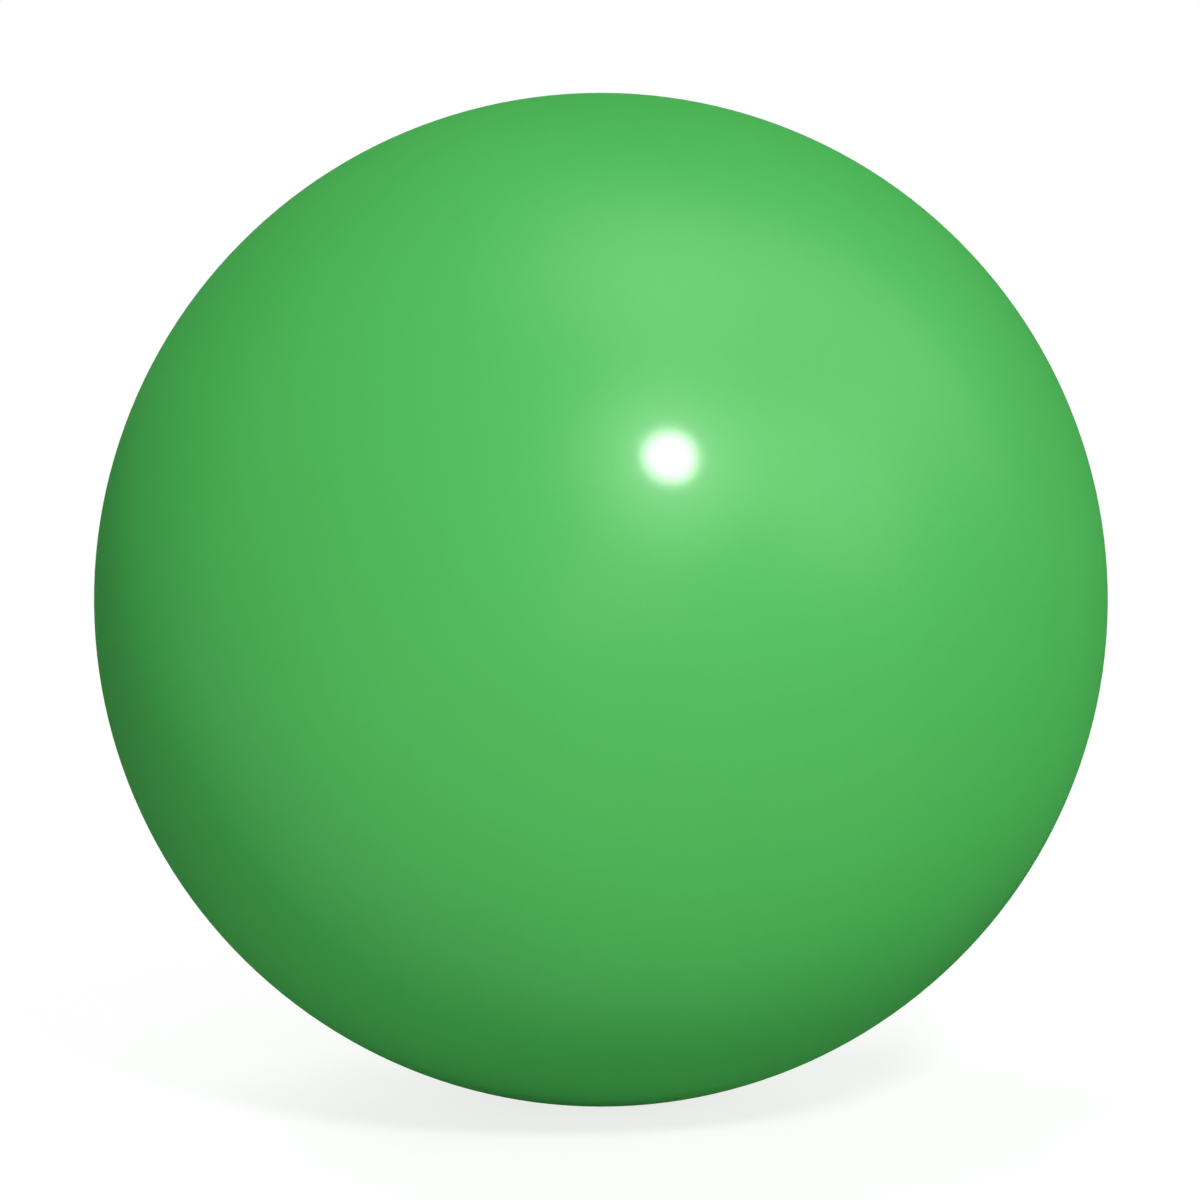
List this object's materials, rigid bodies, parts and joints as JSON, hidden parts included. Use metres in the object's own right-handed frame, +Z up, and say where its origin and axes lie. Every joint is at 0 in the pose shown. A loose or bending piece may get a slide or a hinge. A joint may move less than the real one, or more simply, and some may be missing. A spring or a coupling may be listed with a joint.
{
  "type": "rhythmic gymnastics ball",
  "caption": "Hollow rubber ball for rhythmic gymnastics: a smooth glossy one-piece shell, blown up through a flush needle valve with a pull-out self-sealing nipple.",
  "frame": {"origin": "centre of the ball", "axes": "+Y along the valve's axis, out of the ball; +Z up; the plain front of the ball faces -Y"},
  "size_m": [0.185, 0.1848, 0.185],
  "materials": {
    "skin": "gloss",
    "housing": "satin",
    "patch": "matte",
    "nipple": "satin"
  },
  "bodies": {
    "ball": {"ball_shell": "skin", "valve_housing": "housing", "valve_patch": "patch"},
    "nipple": {"valve_nipple": "nipple"}
  },
  "joints": [
    {"name": "nipple_pull", "type": "slide", "parent": "ball", "child": "nipple", "axis": [0, 1, 0], "range_m": [0, 0.015]}
  ]
}
